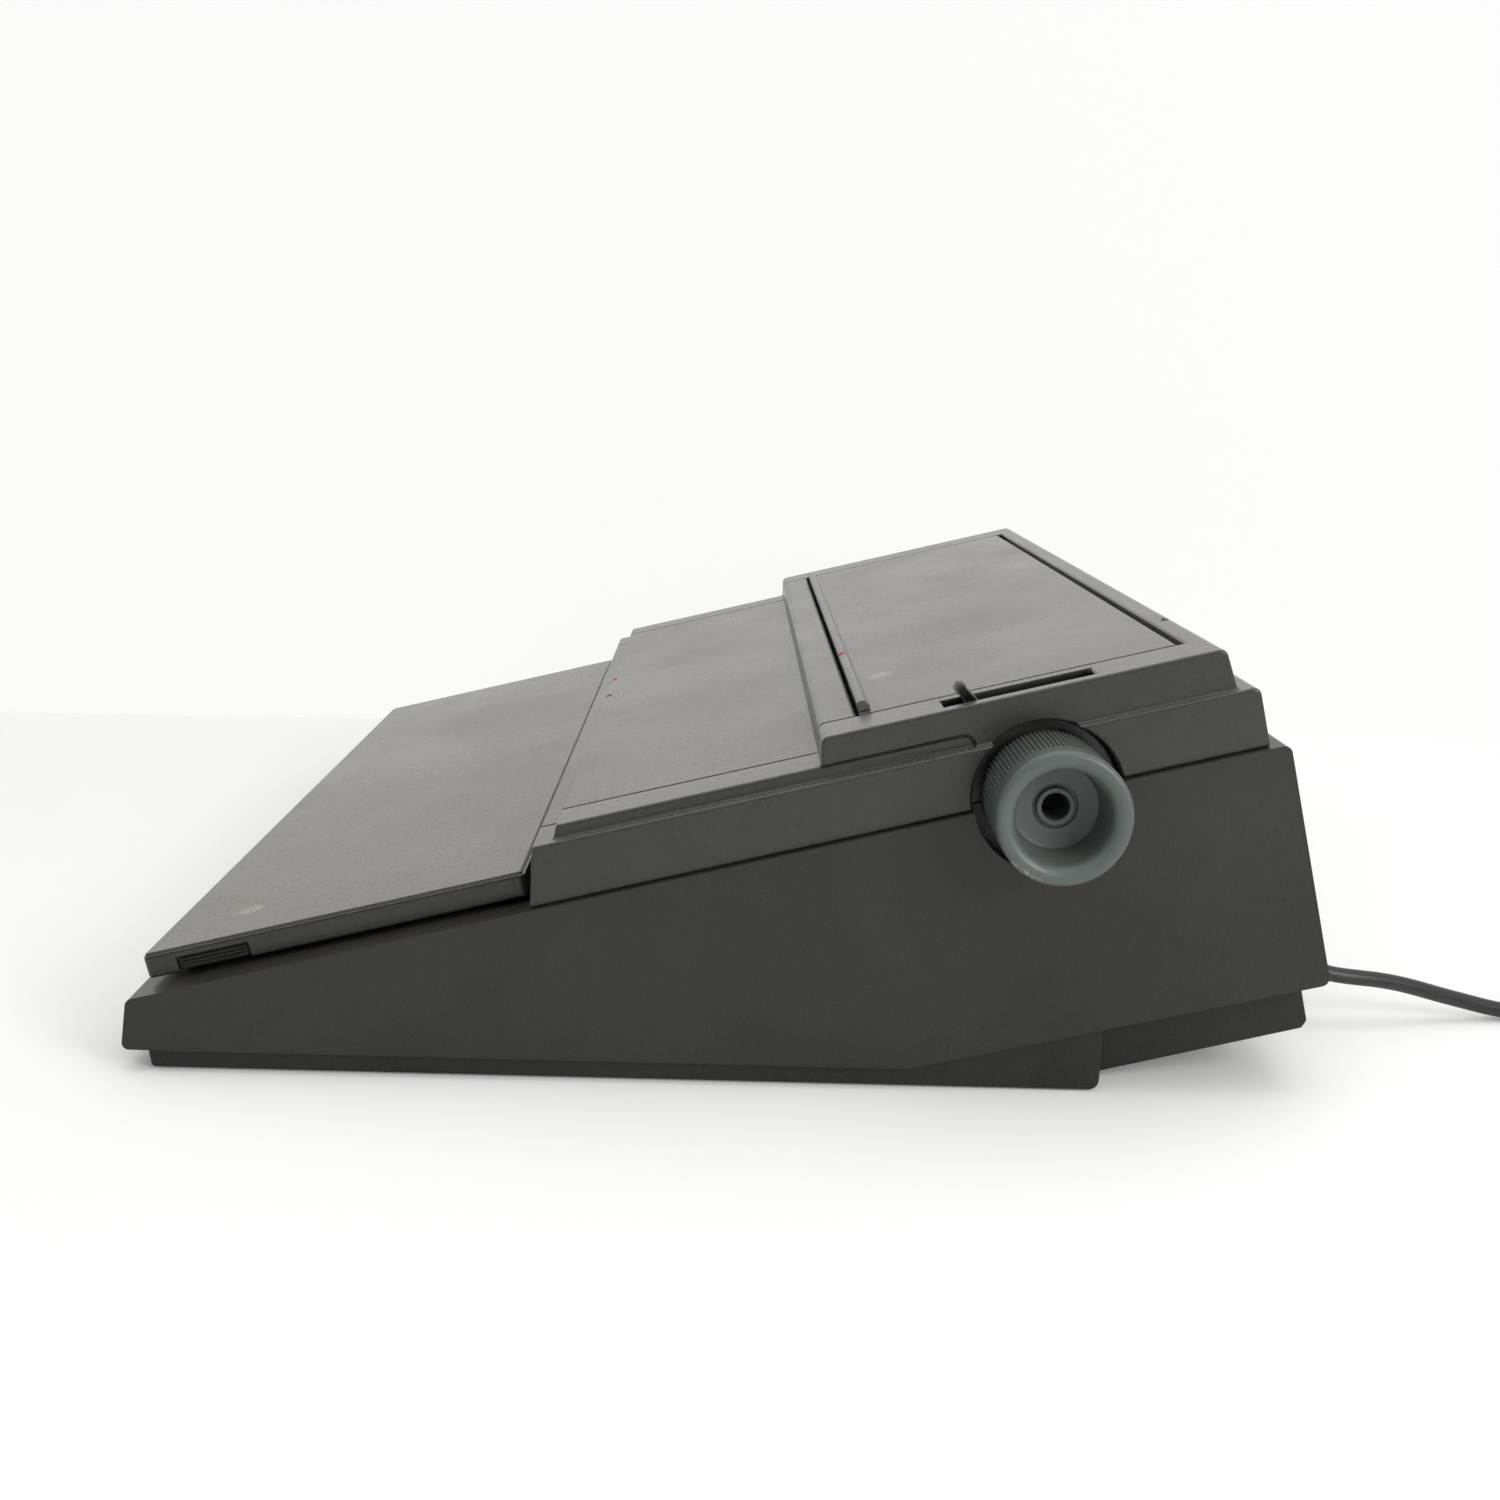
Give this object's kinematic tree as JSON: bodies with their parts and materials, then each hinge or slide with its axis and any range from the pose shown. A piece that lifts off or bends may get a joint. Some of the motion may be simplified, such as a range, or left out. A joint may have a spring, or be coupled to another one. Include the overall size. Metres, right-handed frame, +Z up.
{
  "type": "electronic typewriter",
  "caption": "Portable daisy-wheel typewriter with stepped covers over its mechanism, a detachable keyboard cover, a platen knob and a coiled mains lead.",
  "frame": {"origin": "on the table, below the middle of the lower shell's width, 176 mm behind the lower shell's front edge", "axes": "+X across the machine towards the platen knob, +Y from the keyboard to the back, +Z up; the deck rises by 14.4 degrees towards +Y"},
  "size_m": [0.5218, 0.5512, 0.1355],
  "materials": {
    "charcoal_abs": "fine-textured moulded ABS",
    "dark_abs": "textured moulded ABS, darker",
    "black_plastic": "smooth moulded plastic",
    "knob_grey": "ribbed moulded knob, satin",
    "key_cream": "two-shot key cap",
    "key_grey": "two-shot key cap",
    "rubber_black": "rubber",
    "cord_black": "PVC-sheathed mains cord",
    "steel": "zinc-plated sheet and bar",
    "nylon": "natural nylon",
    "brass": "turned brass",
    "board_green": "glass-fibre board",
    "copper_coil": "varnished copper winding"
  },
  "bodies": {
    "machine": {"base_pan": "dark_abs", "main_shell": "charcoal_abs", "upper_casing": "charcoal_abs", "rubber_feet": "rubber_black", "case_screws": "steel", "strain_relief": "cord_black", "mains_lead": "cord_black", "mains_coil": "cord_black", "mains_plug": "black_plastic", "power_switch": "black_plastic", "transformer": "steel", "main_board": "board_green", "platen_bushes": "nylon", "feed_motor": "steel", "paper_chute": "dark_abs", "side_frame_left": "steel", "side_frame_right": "steel", "guide_rods": "steel", "carriage_motor": "steel", "drive_belt": "rubber_black", "keyboard_plate": "dark_abs", "keyboard_board": "board_green"},
    "keyboard_cover": {"keyboard_cover": "charcoal_abs"},
    "cover_latch_left": {"cover_latch_left": "dark_abs"},
    "cover_latch_right": {"cover_latch_right": "dark_abs"},
    "access_cover": {"access_cover": "charcoal_abs"},
    "paper_support": {"paper_support": "charcoal_abs", "ruler_bar": "black_plastic"},
    "power_rocker": {"power_rocker": "dark_abs"},
    "platen": {"platen_roller": "rubber_black", "platen_shaft": "steel", "platen_knob": "knob_grey", "platen_gear": "nylon"},
    "feed_pinion": {"feed_pinion": "brass"},
    "release_lever": {"release_lever": "black_plastic"},
    "pressure_carrier": {"pressure_carrier": "steel"},
    "pressure_rollers": {"pressure_rollers": "rubber_black"},
    "paper_bail": {"paper_bail": "steel"},
    "bail_rollers": {"bail_rollers": "rubber_black"},
    "carriage": {"carriage_frame": "dark_abs", "wheel_motor": "steel", "hammer_coil": "copper_coil", "ribbon_cassette": "black_plastic"},
    "daisy_wheel": {"daisy_wheel": "black_plastic"},
    "print_hammer": {"print_hammer": "steel"},
    "correction_spool_left": {"correction_spool_left": "nylon"},
    "correction_spool_right": {"correction_spool_right": "nylon"},
    "motor_pulley": {"motor_pulley": "nylon"},
    "idler_pulley": {"idler_pulley": "nylon"},
    "number_row_keys": {"number_row_keys": "key_cream"},
    "upper_row_keys": {"upper_row_keys": "key_cream"},
    "home_row_keys": {"home_row_keys": "key_cream"},
    "lower_row_keys": {"lower_row_keys": "key_cream"},
    "space_bar": {"space_bar": "key_cream"},
    "return_key": {"return_key": "key_grey"},
    "left_shift_key": {"left_shift_key": "key_grey"},
    "right_shift_key": {"right_shift_key": "key_grey"},
    "shift_lock_key": {"shift_lock_key": "key_grey"},
    "backspace_key": {"backspace_key": "key_grey"},
    "function_keys": {"function_keys": "key_grey"}
  },
  "joints": [
    {"name": "cover_lift", "type": "slide", "parent": "machine", "child": "keyboard_cover", "axis": [0, -0.2487, 0.9686], "range_m": [0, 0.12]},
    {"name": "latch_left_slide", "type": "slide", "parent": "keyboard_cover", "child": "cover_latch_left", "axis": [1, 0, 0], "range_m": [0, 0.0015], "stiffness_N_per_m": 1000, "springref_m": -0.001},
    {"name": "latch_right_slide", "type": "slide", "parent": "keyboard_cover", "child": "cover_latch_right", "axis": [-1, 0, 0], "range_m": [0, 0.0015], "stiffness_N_per_m": 1000, "springref_m": -0.001},
    {"name": "access_cover_hinge", "type": "hinge", "parent": "machine", "child": "access_cover", "pos_m": [0, 0.03939, 0.10675], "axis": [-1, 0, 0], "range_deg": [0, 65]},
    {"name": "paper_support_hinge", "type": "hinge", "parent": "machine", "child": "paper_support", "pos_m": [0, 0.13312, 0.12813], "axis": [-1, 0, 0], "range_deg": [0, 75]},
    {"name": "rocker_hinge", "type": "hinge", "parent": "machine", "child": "power_rocker", "pos_m": [-0.075, 0.17127, 0.07082], "axis": [1, 0, 0], "range_deg": [0, 20]},
    {"name": "platen_turn", "type": "hinge", "parent": "machine", "child": "platen", "pos_m": [0, 0.0953, 0.09127], "axis": [1, 0, 0], "continuous": true},
    {"name": "feed_pinion_turn", "type": "hinge", "parent": "machine", "child": "feed_pinion", "pos_m": [-0.194, 0.12529, 0.09095], "axis": [1, 0, 0], "continuous": true},
    {"name": "release_lever_hinge", "type": "hinge", "parent": "machine", "child": "release_lever", "pos_m": [0.195, 0.0953, 0.09127], "axis": [-1, 0, 0], "range_deg": [0, 50]},
    {"name": "pressure_carrier_hinge", "type": "hinge", "parent": "machine", "child": "pressure_carrier", "pos_m": [0, 0.1189, 0.0677], "axis": [1, 0, 0], "range_deg": [0, 5.6]},
    {"name": "pressure_rollers_turn", "type": "hinge", "parent": "pressure_carrier", "child": "pressure_rollers", "pos_m": [0, 0.09716, 0.06704], "axis": [1, 0, 0], "continuous": true},
    {"name": "paper_bail_hinge", "type": "hinge", "parent": "machine", "child": "paper_bail", "pos_m": [0, 0.0883, 0.07429], "axis": [1, 0, 0], "range_deg": [0, 12], "stiffness_Nm_per_rad": 0.3, "springref_deg": -20.05},
    {"name": "bail_rollers_turn", "type": "hinge", "parent": "paper_bail", "child": "bail_rollers", "pos_m": [0, 0.07708, 0.10431], "axis": [1, 0, 0], "continuous": true},
    {"name": "carriage_slide", "type": "slide", "parent": "machine", "child": "carriage", "axis": [1, 0, 0], "range_m": [-0.11, 0.11]},
    {"name": "print_wheel_turn", "type": "hinge", "parent": "carriage", "child": "daisy_wheel", "pos_m": [0, 0.08226, 0.05158], "axis": [0, 0.9686, 0.2487], "continuous": true},
    {"name": "hammer_stroke", "type": "slide", "parent": "carriage", "child": "print_hammer", "axis": [0, 0.9686, 0.2487], "range_m": [0, 0.0037], "stiffness_N_per_m": 200, "springref_m": -0.002},
    {"name": "correction_spool_left_turn", "type": "hinge", "parent": "carriage", "child": "correction_spool_left", "pos_m": [-0.02, 0.05699, 0.07761], "axis": [0, -0.2487, 0.9686], "continuous": true},
    {"name": "correction_spool_right_turn", "type": "hinge", "parent": "carriage", "child": "correction_spool_right", "pos_m": [0.02, 0.05699, 0.07761], "axis": [0, -0.2487, 0.9686], "continuous": true},
    {"name": "motor_pulley_turn", "type": "hinge", "parent": "machine", "child": "motor_pulley", "pos_m": [0.165, 0.04962, 0.01584], "axis": [0, -0.2487, 0.9686], "continuous": true},
    {"name": "idler_pulley_turn", "type": "hinge", "parent": "machine", "child": "idler_pulley", "pos_m": [-0.165, 0.04962, 0.01584], "axis": [0, -0.2487, 0.9686], "continuous": true},
    {"name": "number_row_press", "type": "slide", "parent": "machine", "child": "number_row_keys", "axis": [0, 0.2487, -0.9686], "range_m": [0, 0.0035], "stiffness_N_per_m": 400, "springref_m": -0.004},
    {"name": "upper_row_press", "type": "slide", "parent": "machine", "child": "upper_row_keys", "axis": [0, 0.2487, -0.9686], "range_m": [0, 0.0035], "stiffness_N_per_m": 400, "springref_m": -0.004},
    {"name": "home_row_press", "type": "slide", "parent": "machine", "child": "home_row_keys", "axis": [0, 0.2487, -0.9686], "range_m": [0, 0.0035], "stiffness_N_per_m": 400, "springref_m": -0.004},
    {"name": "lower_row_press", "type": "slide", "parent": "machine", "child": "lower_row_keys", "axis": [0, 0.2487, -0.9686], "range_m": [0, 0.0035], "stiffness_N_per_m": 400, "springref_m": -0.004},
    {"name": "space_bar_press", "type": "slide", "parent": "machine", "child": "space_bar", "axis": [0, 0.2487, -0.9686], "range_m": [0, 0.0035], "stiffness_N_per_m": 400, "springref_m": -0.004},
    {"name": "return_press", "type": "slide", "parent": "machine", "child": "return_key", "axis": [0, 0.2487, -0.9686], "range_m": [0, 0.0035], "stiffness_N_per_m": 400, "springref_m": -0.004},
    {"name": "left_shift_press", "type": "slide", "parent": "machine", "child": "left_shift_key", "axis": [0, 0.2487, -0.9686], "range_m": [0, 0.0035], "stiffness_N_per_m": 400, "springref_m": -0.004},
    {"name": "right_shift_press", "type": "slide", "parent": "machine", "child": "right_shift_key", "axis": [0, 0.2487, -0.9686], "range_m": [0, 0.0035], "stiffness_N_per_m": 400, "springref_m": -0.004},
    {"name": "shift_lock_press", "type": "slide", "parent": "machine", "child": "shift_lock_key", "axis": [0, 0.2487, -0.9686], "range_m": [0, 0.0035], "stiffness_N_per_m": 400, "springref_m": -0.004},
    {"name": "backspace_press", "type": "slide", "parent": "machine", "child": "backspace_key", "axis": [0, 0.2487, -0.9686], "range_m": [0, 0.0035], "stiffness_N_per_m": 400, "springref_m": -0.004},
    {"name": "function_press", "type": "slide", "parent": "machine", "child": "function_keys", "axis": [0, 0.2487, -0.9686], "range_m": [0, 0.0035], "stiffness_N_per_m": 400, "springref_m": -0.004}
  ],
  "couplings": [
    {"joint": "feed_pinion_turn", "follows": "platen_turn", "ratio": -4},
    {"joint": "pressure_rollers_turn", "follows": "platen_turn", "ratio": -2.4286},
    {"joint": "bail_rollers_turn", "follows": "platen_turn", "ratio": -3.4},
    {"joint": "pressure_carrier_hinge", "follows": "release_lever_hinge", "ratio": 0.11},
    {"joint": "motor_pulley_turn", "follows": "carriage_slide", "rad_per_m": 112.36},
    {"joint": "idler_pulley_turn", "follows": "carriage_slide", "rad_per_m": 112.36},
    {"joint": "correction_spool_right_turn", "follows": "correction_spool_left_turn", "ratio": 1}
  ]
}
